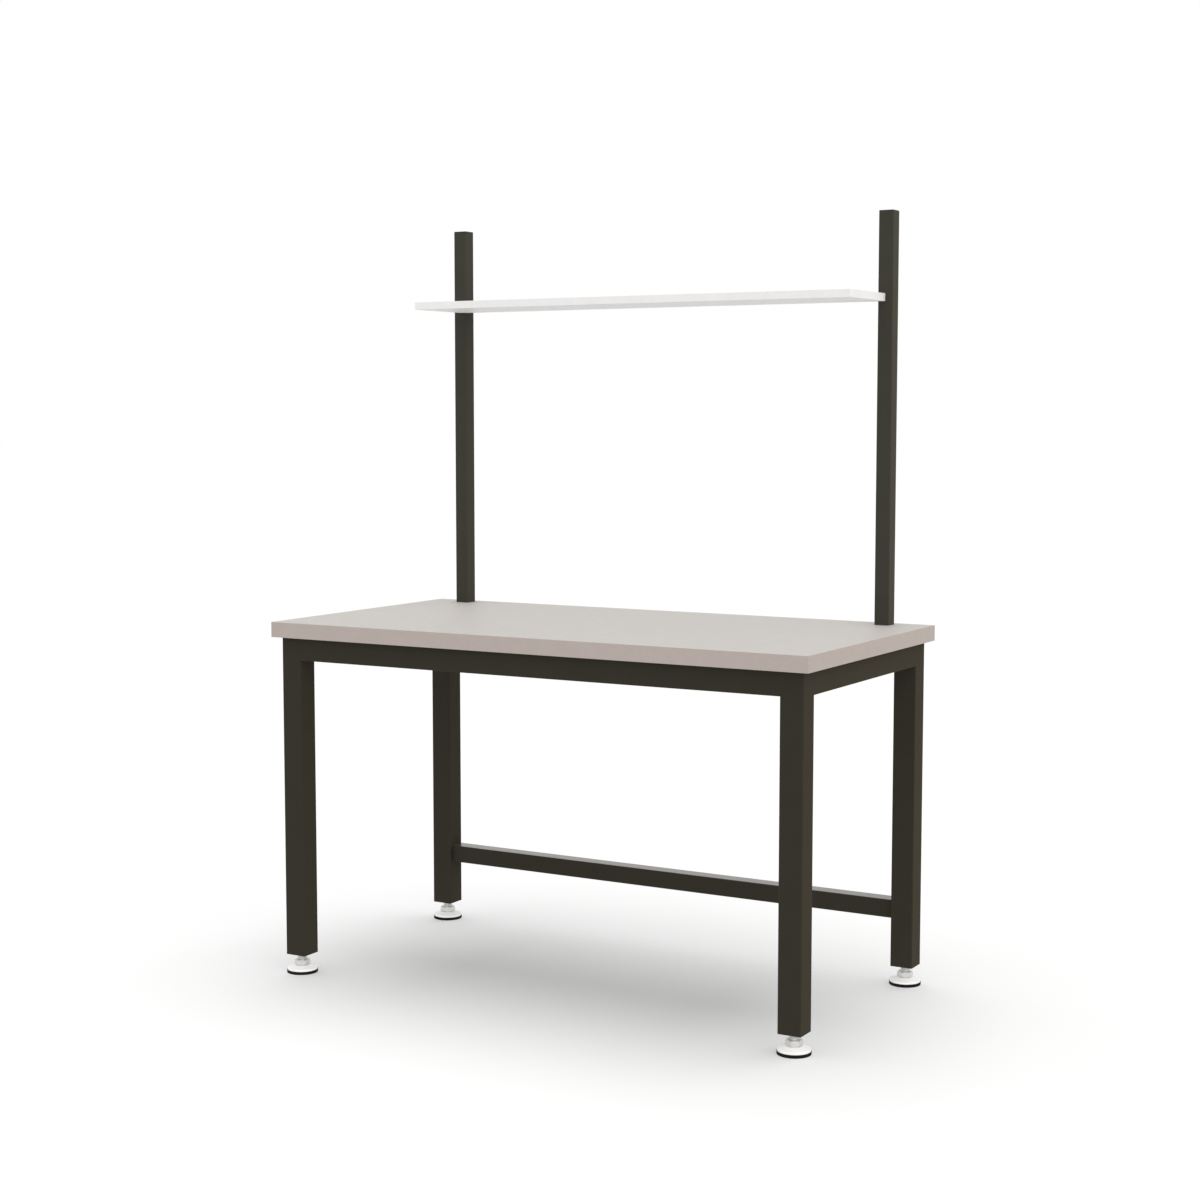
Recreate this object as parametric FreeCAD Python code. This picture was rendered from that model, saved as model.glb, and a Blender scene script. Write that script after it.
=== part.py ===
"""Workbench with a raised shelf: a laminated worktop on a welded square-tube frame with levelling feet,
and two posts at the back that carry a shelf on hidden rods.

Millimetres. X runs along the bench, Y from front to back, Z up. The origin is on the floor, under the
middle of the worktop.
"""
import FreeCAD, Part
import math
import os

V = FreeCAD.Vector
X_AXIS = V(1, 0, 0)
Y_AXIS = V(0, 1, 0)
Z_AXIS = V(0, 0, 1)

# Frame
FRAME_LENGTH = 1500.0
FRAME_DEPTH = 750.0
TOP_HEIGHT = 940.0
LEG_SIZE = 60.0
TUBE_WALL = 2.0
TUBE_RADIUS = 3.0
RAIL_HEIGHT = 60.0
STRETCHER_SIZE = 48.0
STRETCHER_HEIGHT = 198.0
WELD_GAP = 0.05
BEAD_SIZE = 4.0
BEAD_FULLNESS = 0.6

# Worktop
TOP_OVERHANG = 20.0
CORE_THICKNESS = 38.0
LAMINATE_THICKNESS = 1.0
EDGE_BAND = 2.0
EDGE_ROUNDING = 1.0

# Angle brackets and screws under the worktop
BRACKET_LEG = 30.0
BRACKET_WALL = 3.0
BRACKET_WIDTH = 40.0
BRACKET_BEND = 2.0
BRACKET_CORNER = 5.0
BRACKET_BEAD = 2.5
BRACKET_HOLE_INSET = 18.0
BRACKET_END_DISTANCE = 240.0
TOP_SCREW_DIAMETER = 6.0
TOP_SCREW_LENGTH = 30.0

# Pan-head screws, in shank diameters
SCREW_HEAD_WIDTH = 2.0
SCREW_HEAD_HEIGHT = 0.7
SCREW_HEAD_ROUNDING = 0.28
SCREW_SOCKET_WIDTH = 0.7
SCREW_SOCKET_DEPTH = 0.35
SCREW_POINT_LENGTH = 1.0
SCREW_POINT_WIDTH = 0.2

# Levelling foot
PAD_DIAMETER = 82.0
PAD_FLOOR = 5.0
PAD_LIP_HEIGHT = 3.0
PAD_LIP_WALL = 1.0
PAD_CHAMFER = 1.0
BASE_HEIGHT = 15.0
BASE_RIM_HEIGHT = 8.5
BASE_RIM_CHAMFER = 1.5
BASE_HUB_DIAMETER = 44.0
COLLAR_FLATS = 36.0
COLLAR_HEIGHT = 15.0
SPINDLE_DIAMETER = 24.0
SPINDLE_SHOWN = 15.0
SPINDLE_HIDDEN = 70.0
SPINDLE_CHAMFER = 2.0
PIVOT_DIAMETER = 16.0
PIVOT_DEPTH = 9.0
PIVOT_SNAP = 0.6
PIVOT_SNAP_HEIGHT = 1.5
HEX_CHAMFER_ANGLE = 30.0
SOCKET_PLATE = 8.0
SOCKET_BOSS_DIAMETER = 38.0
SOCKET_BOSS_HEIGHT = 22.0

# Posts and what bolts them down
POST_SIZE = 40.0
POST_WALL = 2.0
POST_RADIUS = 2.5
POST_RISE = 1060.0
POST_INSET = 40.0
CAP_FLANGE = 3.0
CAP_ROUNDING = 1.8
CAP_DEPTH = 15.0
CAP_WALL = 2.0
PLUG_HEIGHT = 32.0
POST_BOLT_DIAMETER = 12.0
POST_BOLT_LENGTH = 130.0
POST_BOLT_FLATS = 18.0
POST_BOLT_HEAD = 7.5
POST_BOLT_CHAMFER = 1.0
POST_WASHER_DIAMETER = 24.0
POST_WASHER_THICKNESS = 2.5
SLEEVE_DIAMETER = 20.0

# Shelf
SHELF_RISE = 850.0
SHELF_DEPTH = 235.0
SHELF_THICKNESS = 20.0
SHELF_POST_OVERLAP = 20.0
SHELF_BAND = 1.0
SHELF_ROUNDING = 0.6
CROSSBAR_DEPTH = 20.0
CROSSBAR_HEIGHT = 15.0
CROSSBAR_WALL = 1.5
CROSSBAR_RADIUS = 2.0
CROSSBAR_BEAD = 2.5
ROD_DIAMETER = 10.0
ROD_REACH = 150.0
ROD_COUNT = 4
ROD_END_DISTANCE = 150.0
SHELF_SCREW_DIAMETER = 5.0
SHELF_SCREW_LENGTH = 60.0

# Fits
INSERT_CLEARANCE = 0.15
THREAD_CLEARANCE = 0.1
RUNNING_CLEARANCE = 0.1
BOLT_CLEARANCE = 0.5
ROD_CLEARANCE = 0.2
LIP_CLEARANCE = 0.1
END_CLEARANCE = 0.5
NOTCH_CLEARANCE = 0.2

# Levels
TOP_THICKNESS = CORE_THICKNESS + 2 * LAMINATE_THICKNESS
FRAME_TOP = TOP_HEIGHT - TOP_THICKNESS
RAIL_BOTTOM = FRAME_TOP - RAIL_HEIGHT
BASE_TOP = PAD_FLOOR + BASE_HEIGHT
COLLAR_TOP = BASE_TOP + COLLAR_HEIGHT
LEG_BOTTOM = COLLAR_TOP + SPINDLE_SHOWN
POST_TOP = TOP_HEIGHT + POST_RISE - CAP_FLANGE
SHELF_TOP = TOP_HEIGHT + SHELF_RISE
SHELF_MIDDLE = SHELF_TOP - SHELF_THICKNESS / 2

# Plan positions
LEG_X = FRAME_LENGTH / 2 - LEG_SIZE / 2
LEG_Y = FRAME_DEPTH / 2 - LEG_SIZE / 2
INNER_X = FRAME_LENGTH / 2 - LEG_SIZE
INNER_Y = FRAME_DEPTH / 2 - LEG_SIZE
TOP_X = FRAME_LENGTH / 2 + TOP_OVERHANG
TOP_Y = FRAME_DEPTH / 2 + TOP_OVERHANG
POST_X = INNER_X - POST_INSET
POST_Y = LEG_Y
POST_INNER_X = POST_X - POST_SIZE / 2
POST_FRONT_Y = POST_Y - POST_SIZE / 2
CROSSBAR_FRONT_Y = POST_Y - CROSSBAR_DEPTH / 2
CROSSBAR_REAR_Y = POST_Y + CROSSBAR_DEPTH / 2
SHELF_X = POST_INNER_X + SHELF_POST_OVERLAP
SHELF_REAR_Y = CROSSBAR_FRONT_Y
SHELF_FRONT_Y = SHELF_REAR_Y - SHELF_DEPTH
STRETCHER_REAR_Y = FRAME_DEPTH / 2

CORNERS = {
    "front_left": (-1, -1),
    "front_right": (1, -1),
    "rear_left": (-1, 1),
    "rear_right": (1, 1),
}
SIDES = {"left": -1, "right": 1}
TOLERANCE = 0.01
PARALLEL = 0.99


def block(x0, x1, y0, y1, z0, z1):
    """A box between two values on each axis, given in either order."""
    low = V(min(x0, x1), min(y0, y1), min(z0, z1))
    return Part.makeBox(abs(x1 - x0), abs(y1 - y0), abs(z1 - z0), low)


def cylinder(start, direction, length, diameter):
    """A cylinder that starts at a point and runs along a direction."""
    return Part.makeCylinder(diameter / 2, length, start, direction)


def edges_along(solid, axis):
    """The straight edges of a solid that run along an axis."""
    return [e for e in solid.Edges if abs(e.tangentAt(e.FirstParameter).dot(axis)) > PARALLEL]


def bar(x, y, z, axis, radius):
    """A straight bar over three (low, high) spans, its four edges along one axis rounded."""
    solid = block(*x, *y, *z)
    return solid.makeFillet(radius, edges_along(solid, axis))


def tube(x, y, z, axis, wall, radius):
    """A bar with an open bore and even walls: the bore's corners share their centres with the bar's."""
    bore = [
        span if axis[i] else (span[0] + wall, span[1] - wall)
        for i, span in enumerate((x, y, z))
    ]
    return bar(x, y, z, axis, radius).cut(bar(*bore, axis, radius - wall))


def centred(middle, size):
    """The (low, high) span of a size about its middle."""
    return (middle - size / 2, middle + size / 2)


def hexagon(x, y, z0, height, flats):
    """An upright hexagonal prism, two flats square to X, its corners turned off at a slant at both ends."""
    corner = flats / math.sqrt(3)
    turns = [math.radians(60 * i + 30) for i in range(7)]
    points = [V(x + corner * math.cos(a), y + corner * math.sin(a), z0) for a in turns]
    prism = Part.Face(Part.makePolygon(points)).extrude(V(0, 0, height))
    drop = (corner - flats / 2) * math.tan(math.radians(HEX_CHAMFER_ANGLE))
    turned = [
        (0, 0), (flats / 2, 0), (corner, drop), (corner, height - drop), (flats / 2, height), (0, height),
    ]
    return prism.common(turning(x, y, z0, turned))


def turning(x, y, z0, outline):
    """A solid of revolution about an upright line: the outline is (radius, height) pairs."""
    points = [V(x + r, y, z0 + h) for r, h in outline]
    face = Part.Face(Part.makePolygon(points + points[:1]))
    return face.revolve(V(x, y, z0), Z_AXIS, 360)


def evenly(half_span, count):
    """Positions from minus to plus a half span, evenly spaced."""
    return [-half_span + 2 * half_span * i / (count - 1) for i in range(count)]


def pan_screw(seat, direction, diameter, length):
    """A wood screw: seat is where the head's underside rests, direction is the way the shank goes."""
    head_height = SCREW_HEAD_HEIGHT * diameter
    head_top = seat - direction * head_height
    point_length = SCREW_POINT_LENGTH * diameter
    point_start = seat + direction * (length - point_length)
    shank = cylinder(seat, direction, length - point_length, diameter)
    point_r = SCREW_POINT_WIDTH * diameter / 2
    point = Part.makeCone(diameter / 2, point_r, point_length, point_start, direction)
    head = cylinder(head_top, direction, head_height, SCREW_HEAD_WIDTH * diameter)
    rim = [e for e in head.Edges if e.Closed and e.BoundBox.Center.isEqual(head_top, TOLERANCE)]
    head = head.makeFillet(SCREW_HEAD_ROUNDING * diameter, rim)
    socket = cylinder(head_top, direction, SCREW_SOCKET_DEPTH * diameter, SCREW_SOCKET_WIDTH * diameter)
    return shank.fuse([point, head]).cut(socket).removeSplitter()


def hold_down_points():
    """Where the worktop is screwed down: (point on a rail's inner face, direction to the inside)."""
    along = INNER_X - BRACKET_END_DISTANCE
    points = []
    for side in (-1, 1):
        points += [(V(x, side * INNER_Y, FRAME_TOP), V(0, -side, 0)) for x in (-along, 0.0, along)]
        points.append((V(side * INNER_X, 0, FRAME_TOP), V(-side, 0, 0)))
    return points


def screw_seats():
    """The points on the frame's top plane that the worktop screws pass through."""
    return [point + inward * BRACKET_HOLE_INSET for point, inward in hold_down_points()]


def worktop():
    """Core, face laminate, balancing laminate and the four edge bands."""
    x = (-TOP_X + EDGE_BAND, TOP_X - EDGE_BAND)
    y = (-TOP_Y + EDGE_BAND, TOP_Y - EDGE_BAND)
    core_bottom = FRAME_TOP + LAMINATE_THICKNESS
    core_top = TOP_HEIGHT - LAMINATE_THICKNESS
    hole = POST_BOLT_DIAMETER + 2 * BOLT_CLEARANCE
    drilled = [
        cylinder(V(side * POST_X, POST_Y, FRAME_TOP), Z_AXIS, TOP_THICKNESS, hole) for side in SIDES.values()
    ]
    pilot = TOP_SCREW_LENGTH - BRACKET_WALL + END_CLEARANCE
    piloted = [cylinder(p, Z_AXIS, pilot, TOP_SCREW_DIAMETER + 2 * THREAD_CLEARANCE) for p in screw_seats()]
    nodes = {
        "worktop_core": block(*x, *y, core_bottom, core_top).cut(drilled + piloted),
        "worktop_laminate": block(*x, *y, core_top, TOP_HEIGHT).cut(drilled),
        "worktop_backer": block(*x, *y, FRAME_TOP, core_bottom).cut(drilled + piloted),
    }
    for name, side in (("front", -1), ("rear", 1)):
        band = block(-TOP_X, TOP_X, side * TOP_Y, side * (TOP_Y - EDGE_BAND), FRAME_TOP, TOP_HEIGHT)
        nodes["edge_band_" + name] = rounded_band(band, EDGE_ROUNDING, V(0, side, 0))
    for name, side in SIDES.items():
        band = block(side * TOP_X, side * (TOP_X - EDGE_BAND), *y, FRAME_TOP, TOP_HEIGHT)
        nodes["edge_band_" + name] = rounded_band(band, EDGE_ROUNDING, V(side, 0, 0), Y_AXIS)
    return nodes


def rounded_band(band, radius, outward, along=None):
    """An edge band with its edges rounded away from its glued face: all of them, or those along one axis."""
    edges = edges_along(band, along) if along else band.Edges
    depths = [edge.BoundBox.Center.dot(outward) for edge in edges]
    return band.makeFillet(radius, [e for e, depth in zip(edges, depths) if depth > min(depths) + TOLERANCE])


def frame():
    """Four legs, four rails between them and the stretcher between the rear legs."""
    nodes = {}
    for name, (sx, sy) in CORNERS.items():
        nodes["leg_" + name] = tube(
            centred(sx * LEG_X, LEG_SIZE), centred(sy * LEG_Y, LEG_SIZE), (LEG_BOTTOM, FRAME_TOP),
            Z_AXIS, TUBE_WALL, TUBE_RADIUS,
        )
    rail_z = (RAIL_BOTTOM, FRAME_TOP)
    for name, side in (("front", -1), ("rear", 1)):
        nodes["rail_" + name] = tube(
            (-INNER_X, INNER_X), centred(side * LEG_Y, LEG_SIZE), rail_z, X_AXIS, TUBE_WALL, TUBE_RADIUS)
    for name, side in SIDES.items():
        nodes["rail_" + name] = tube(
            centred(side * LEG_X, LEG_SIZE), (-INNER_Y, INNER_Y), rail_z, Y_AXIS, TUBE_WALL, TUBE_RADIUS)
    nodes["rear_stretcher"] = tube(
        (-INNER_X, INNER_X), (STRETCHER_REAR_Y - STRETCHER_SIZE, STRETCHER_REAR_Y),
        centred(STRETCHER_HEIGHT, STRETCHER_SIZE), X_AXIS, TUBE_WALL, TUBE_RADIUS)
    hole = POST_BOLT_DIAMETER + 2 * BOLT_CLEARANCE
    for side in SIDES.values():
        drill = cylinder(V(side * POST_X, POST_Y, RAIL_BOTTOM), Z_AXIS, RAIL_HEIGHT, hole)
        nodes["rail_rear"] = nodes["rail_rear"].cut(drill)
    nodes["frame_welds"] = Part.makeCompound(frame_welds())
    return nodes


def groove_fill(corner, to_leg, z0, z1):
    """The ground-flush weld between a leg's rounded corner and a tube end: a square less the leg's round."""
    centre = V(corner.x + to_leg[0] * TUBE_RADIUS, corner.y + to_leg[1] * TUBE_RADIUS, z0)
    square = block(corner.x, centre.x, corner.y, centre.y, z0, z1)
    return square.cut(cylinder(centre, Z_AXIS, z1 - z0, 2 * (TUBE_RADIUS + WELD_GAP)))


def bead(corner, along, length, first, second, size):
    """A fillet weld in an inside corner: a right triangle with a slightly full face, run along it."""
    start = corner - along * (length / 2)
    a = start + first * size
    b = start + second * size
    bulge = start + (first + second) * (BEAD_FULLNESS * size)
    outline = Part.Wire([Part.makeLine(b, start), Part.makeLine(start, a), Part.Arc(a, bulge, b).toShape()])
    return Part.Face(outline).extrude(along * length)


def frame_welds():
    """The welds at every rail end and stretcher end."""
    welds = []
    rail_z = (RAIL_BOTTOM + TUBE_RADIUS / 2, FRAME_TOP - TUBE_RADIUS / 2)
    bead_length = LEG_SIZE - 4 * TUBE_RADIUS
    down = V(0, 0, -1)
    for sx, sy in CORNERS.values():
        outer_x = sx * FRAME_LENGTH / 2
        outer_y = sy * FRAME_DEPTH / 2
        inner_x = sx * INNER_X
        inner_y = sy * INNER_Y
        welds.append(groove_fill(V(inner_x, outer_y, 0), (sx, -sy), *rail_z))
        welds.append(groove_fill(V(outer_x, inner_y, 0), (-sx, sy), *rail_z))
        welds.append(groove_fill(V(inner_x, inner_y, 0), (sx, sy), *rail_z))
        under = V(inner_x, sy * LEG_Y, RAIL_BOTTOM)
        welds.append(bead(under, Y_AXIS, bead_length, V(-sx, 0, 0), down, BEAD_SIZE))
        under = V(sx * LEG_X, inner_y, RAIL_BOTTOM)
        welds.append(bead(under, X_AXIS, bead_length, V(0, -sy, 0), down, BEAD_SIZE))
    low, high = centred(STRETCHER_HEIGHT, STRETCHER_SIZE)
    middle_y = STRETCHER_REAR_Y - STRETCHER_SIZE / 2
    for side in SIDES.values():
        corner = V(side * INNER_X, STRETCHER_REAR_Y, 0)
        welds.append(groove_fill(corner, (side, -1), low + TUBE_RADIUS / 2, high - TUBE_RADIUS / 2))
        under = V(side * INNER_X, middle_y, low)
        length = STRETCHER_SIZE - 4 * TUBE_RADIUS
        welds.append(bead(under, Y_AXIS, length, V(-side, 0, 0), down, BEAD_SIZE))
    return welds


def bracket(point, inward):
    """A bent steel angle: one leg on a rail's inner face, one under the worktop, its free corners rounded."""
    along = Z_AXIS.cross(inward)
    start = point - along * (BRACKET_WIDTH / 2)
    corners = [
        (0, 0), (BRACKET_LEG, 0), (BRACKET_LEG, -BRACKET_WALL),
        (BRACKET_WALL, -BRACKET_WALL), (BRACKET_WALL, -BRACKET_LEG), (0, -BRACKET_LEG),
    ]
    outline = [start + inward * a + Z_AXIS * b for a, b in corners]
    angle = Part.Face(Part.makePolygon(outline + outline[:1])).extrude(along * BRACKET_WIDTH)
    bends = [
        (point, BRACKET_BEND + BRACKET_WALL),
        (point + inward * BRACKET_WALL - Z_AXIS * BRACKET_WALL, BRACKET_BEND),
    ]
    for middle, radius in bends:
        edges = [e for e in angle.Edges if e.BoundBox.Center.isEqual(middle, TOLERANCE)]
        angle = angle.makeFillet(radius, edges)
    reach = BRACKET_LEG - TOLERANCE
    tips = [e for e in edges_along(angle, Z_AXIS) if (e.BoundBox.Center - point).dot(inward) > reach]
    tips += [e for e in edges_along(angle, inward) if e.BoundBox.ZMax < point.z - reach]
    return angle.makeFillet(BRACKET_CORNER, tips)


def hold_downs():
    """The angle brackets welded to the rails' inner faces and the screws that go up through them."""
    brackets = []
    screws = []
    welds = []
    hole = TOP_SCREW_DIAMETER + 2 * BOLT_CLEARANCE
    weld_top = FRAME_TOP - BRACKET_BEND - BRACKET_WALL
    weld_bottom = FRAME_TOP - BRACKET_LEG + BRACKET_CORNER
    for (point, inward), seat in zip(hold_down_points(), screw_seats()):
        underside = seat - Z_AXIS * BRACKET_WALL
        brackets.append(bracket(point, inward).cut(cylinder(underside, Z_AXIS, BRACKET_WALL, hole)))
        screws.append(pan_screw(underside, Z_AXIS, TOP_SCREW_DIAMETER, TOP_SCREW_LENGTH))
        for side in SIDES.values():
            away = Z_AXIS.cross(inward) * side
            corner = point + away * (BRACKET_WIDTH / 2)
            corner.z = (weld_top + weld_bottom) / 2
            welds.append(bead(corner, Z_AXIS, weld_top - weld_bottom, away, inward, BRACKET_BEAD))
    return {
        "worktop_brackets": Part.makeCompound(brackets),
        "bracket_welds": Part.makeCompound(welds),
        "worktop_screws": Part.makeCompound(screws),
    }


def foot(name, x, y):
    """One levelling foot: rubber pad, moulded base, spindle with its hex collar, socket in the leg."""
    pad_r = PAD_DIAMETER / 2
    cup_r = pad_r - PAD_LIP_WALL
    lip = PAD_FLOOR + PAD_LIP_HEIGHT
    pad_outline = [
        (0, 0), (pad_r - PAD_CHAMFER, 0), (pad_r, PAD_CHAMFER), (pad_r, lip),
        (cup_r, lip), (cup_r, PAD_FLOOR), (0, PAD_FLOOR),
    ]

    pivot_r = PIVOT_DIAMETER / 2
    snap_r = pivot_r + PIVOT_SNAP
    snap_top = PIVOT_SNAP - PIVOT_DEPTH + PIVOT_SNAP_HEIGHT
    pivot_side = [
        (pivot_r, 0), (pivot_r, snap_top + PIVOT_SNAP), (snap_r, snap_top),
        (snap_r, snap_top - PIVOT_SNAP_HEIGHT), (pivot_r, -PIVOT_DEPTH),
    ]
    base_r = cup_r - LIP_CLEARANCE
    base_outline = [
        (0, 0), (base_r, 0), (base_r, BASE_RIM_HEIGHT - BASE_RIM_CHAMFER),
        (base_r - BASE_RIM_CHAMFER, BASE_RIM_HEIGHT), (BASE_HUB_DIAMETER / 2, BASE_HEIGHT),
    ]
    base_outline += [(r + RUNNING_CLEARANCE, BASE_HEIGHT + h) for r, h in pivot_side]
    bore_floor = BASE_HEIGHT - PIVOT_DEPTH - END_CLEARANCE
    base_outline += [(pivot_r + RUNNING_CLEARANCE, bore_floor), (0, bore_floor)]

    stem_r = SPINDLE_DIAMETER / 2
    stem = SPINDLE_SHOWN + SPINDLE_HIDDEN
    stem_outline = [
        (0, 0), (stem_r, 0), (stem_r, stem - SPINDLE_CHAMFER), (stem_r - SPINDLE_CHAMFER, stem), (0, stem),
    ]
    pivot_outline = [(0, 0)] + pivot_side + [(0, -PIVOT_DEPTH)]
    collar = hexagon(x, y, BASE_TOP, COLLAR_HEIGHT, COLLAR_FLATS)
    spindle = collar.fuse([turning(x, y, BASE_TOP, pivot_outline), turning(x, y, COLLAR_TOP, stem_outline)])

    inside = LEG_SIZE - 2 * TUBE_WALL - 2 * INSERT_CLEARANCE
    plate = bar(
        centred(x, inside), centred(y, inside), (LEG_BOTTOM, LEG_BOTTOM + SOCKET_PLATE),
        Z_AXIS, TUBE_RADIUS - TUBE_WALL)
    boss = cylinder(V(x, y, LEG_BOTTOM + SOCKET_PLATE), Z_AXIS, SOCKET_BOSS_HEIGHT, SOCKET_BOSS_DIAMETER)
    thread = SPINDLE_DIAMETER + 2 * THREAD_CLEARANCE
    tapped = cylinder(V(x, y, LEG_BOTTOM), Z_AXIS, SOCKET_PLATE + SOCKET_BOSS_HEIGHT, thread)
    return {
        "foot_pad_" + name: turning(x, y, 0, pad_outline),
        "foot_base_" + name: turning(x, y, PAD_FLOOR, base_outline),
        "foot_spindle_" + name: spindle,
        "foot_socket_" + name: plate.fuse(boss).cut(tapped),
    }


def post(name, x):
    """One post with its cap and threaded plug, and the bolt, washer and sleeve that clamp it down."""
    bore = POST_SIZE - 2 * POST_WALL
    inside = bore - 2 * INSERT_CLEARANCE
    inner_radius = POST_RADIUS - POST_WALL
    footprint = (centred(x, POST_SIZE), centred(POST_Y, POST_SIZE))
    plug_print = (centred(x, inside), centred(POST_Y, inside))
    hollow_print = (centred(x, inside - 2 * CAP_WALL), centred(POST_Y, inside - 2 * CAP_WALL))

    flange = bar(*footprint, (POST_TOP, POST_TOP + CAP_FLANGE), Z_AXIS, POST_RADIUS)
    top_edges = [e for e in flange.Edges if e.BoundBox.ZMin > POST_TOP + CAP_FLANGE - TOLERANCE]
    flange = flange.makeFillet(CAP_ROUNDING, top_edges)
    skirt = bar(*plug_print, (POST_TOP - CAP_DEPTH, POST_TOP), Z_AXIS, inner_radius)
    skirt = skirt.cut(block(*hollow_print[0], *hollow_print[1], POST_TOP - CAP_DEPTH, POST_TOP))

    threaded = POST_BOLT_DIAMETER + 2 * THREAD_CLEARANCE
    plug = bar(*plug_print, (TOP_HEIGHT, TOP_HEIGHT + PLUG_HEIGHT), Z_AXIS, inner_radius)
    plug = plug.cut(cylinder(V(x, POST_Y, TOP_HEIGHT), Z_AXIS, PLUG_HEIGHT, threaded))

    washer_bottom = RAIL_BOTTOM - POST_WASHER_THICKNESS
    passing = POST_BOLT_DIAMETER + 2 * BOLT_CLEARANCE
    washer = cylinder(V(x, POST_Y, washer_bottom), Z_AXIS, POST_WASHER_THICKNESS, POST_WASHER_DIAMETER)
    washer = washer.cut(cylinder(V(x, POST_Y, washer_bottom), Z_AXIS, POST_WASHER_THICKNESS, passing))
    head = hexagon(x, POST_Y, washer_bottom - POST_BOLT_HEAD, POST_BOLT_HEAD, POST_BOLT_FLATS)
    shank_r = POST_BOLT_DIAMETER / 2
    shank_outline = [
        (0, 0), (shank_r, 0), (shank_r, POST_BOLT_LENGTH - POST_BOLT_CHAMFER),
        (shank_r - POST_BOLT_CHAMFER, POST_BOLT_LENGTH), (0, POST_BOLT_LENGTH),
    ]

    sleeve_bottom = V(x, POST_Y, RAIL_BOTTOM + TUBE_WALL)
    sleeve_length = RAIL_HEIGHT - 2 * TUBE_WALL
    sleeve = cylinder(sleeve_bottom, Z_AXIS, sleeve_length, SLEEVE_DIAMETER)
    return {
        "post_" + name: tube(*footprint, (TOP_HEIGHT, POST_TOP), Z_AXIS, POST_WALL, POST_RADIUS),
        "post_cap_" + name: flange.fuse(skirt),
        "post_plug_" + name: plug,
        "post_washer_" + name: washer,
        "post_bolt_" + name: head.fuse(turning(x, POST_Y, washer_bottom, shank_outline)),
        "rail_sleeve_" + name: sleeve.cut(cylinder(sleeve_bottom, Z_AXIS, sleeve_length, passing)),
    }


def shelf():
    """The crossbar between the posts, its rods and screws, and the banded shelf that slides onto the rods."""
    rod_places = evenly(SHELF_X - ROD_END_DISTANCE, ROD_COUNT)
    screw_places = [(a + b) / 2 for a, b in zip(rod_places, rod_places[1:])]
    forward = V(0, -1, 0)
    rod_start = CROSSBAR_REAR_Y - CROSSBAR_WALL
    rod_length = rod_start - CROSSBAR_FRONT_Y + ROD_REACH
    rods = [cylinder(V(x, rod_start, SHELF_MIDDLE), forward, rod_length, ROD_DIAMETER) for x in rod_places]
    seats = [V(x, CROSSBAR_REAR_Y, SHELF_MIDDLE) for x in screw_places]
    screws = [pan_screw(seat, forward, SHELF_SCREW_DIAMETER, SHELF_SCREW_LENGTH) for seat in seats]

    crossbar = tube(
        (-POST_INNER_X, POST_INNER_X), (CROSSBAR_FRONT_Y, CROSSBAR_REAR_Y),
        centred(SHELF_MIDDLE, CROSSBAR_HEIGHT), X_AXIS, CROSSBAR_WALL, CROSSBAR_RADIUS)
    rod_hole = ROD_DIAMETER + 2 * ROD_CLEARANCE
    screw_hole = SHELF_SCREW_DIAMETER + 2 * BOLT_CLEARANCE
    crossbar = crossbar.cut(
        [cylinder(V(x, rod_start, SHELF_MIDDLE), forward, CROSSBAR_DEPTH, rod_hole) for x in rod_places])
    crossbar = crossbar.cut([cylinder(seat, forward, CROSSBAR_DEPTH, screw_hole) for seat in seats])

    rod_bore = ROD_REACH + END_CLEARANCE
    bores = [cylinder(V(x, SHELF_REAR_Y, SHELF_MIDDLE), forward, rod_bore, rod_hole) for x in rod_places]
    pilot_bore = SHELF_SCREW_LENGTH - CROSSBAR_DEPTH + END_CLEARANCE
    pilot = SHELF_SCREW_DIAMETER + 2 * THREAD_CLEARANCE
    bores += [cylinder(V(x, SHELF_REAR_Y, SHELF_MIDDLE), forward, pilot_bore, pilot) for x in screw_places]
    z = (SHELF_TOP - SHELF_THICKNESS, SHELF_TOP)
    notch_x = POST_INNER_X - NOTCH_CLEARANCE
    notch_y = POST_FRONT_Y - NOTCH_CLEARANCE
    board_x = SHELF_X - SHELF_BAND
    board = block(-board_x, board_x, SHELF_FRONT_Y + SHELF_BAND, SHELF_REAR_Y - SHELF_BAND, *z)
    notches = [block(side * notch_x, side * SHELF_X, notch_y, SHELF_REAR_Y, *z) for side in SIDES.values()]
    front_band = block(-SHELF_X, SHELF_X, SHELF_FRONT_Y, SHELF_FRONT_Y + SHELF_BAND, *z)
    rear_band = block(-notch_x, notch_x, SHELF_REAR_Y - SHELF_BAND, SHELF_REAR_Y, *z)
    nodes = {
        "shelf_crossbar": crossbar,
        "crossbar_welds": Part.makeCompound(crossbar_welds()),
        "shelf_rods": Part.makeCompound(rods),
        "shelf_screws": Part.makeCompound(screws),
        "shelf_board": board.cut(notches + bores),
        "shelf_band_front": rounded_band(front_band, SHELF_ROUNDING, forward),
        "shelf_band_rear": rear_band.cut(bores),
    }
    for name, side in SIDES.items():
        band = block(side * SHELF_X, side * (SHELF_X - SHELF_BAND), SHELF_FRONT_Y + SHELF_BAND, notch_y, *z)
        nodes["shelf_band_" + name] = rounded_band(band, SHELF_ROUNDING, V(side, 0, 0), Y_AXIS)
    return nodes


def crossbar_welds():
    """Fillet welds above and below the crossbar where it meets each post."""
    welds = []
    length = CROSSBAR_DEPTH - 4 * CROSSBAR_RADIUS
    for side in SIDES.values():
        for up in (-1, 1):
            corner = V(side * POST_INNER_X, POST_Y, SHELF_MIDDLE + up * CROSSBAR_HEIGHT / 2)
            welds.append(bead(corner, Y_AXIS, length, V(-side, 0, 0), V(0, 0, up), CROSSBAR_BEAD))
    return welds


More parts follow.
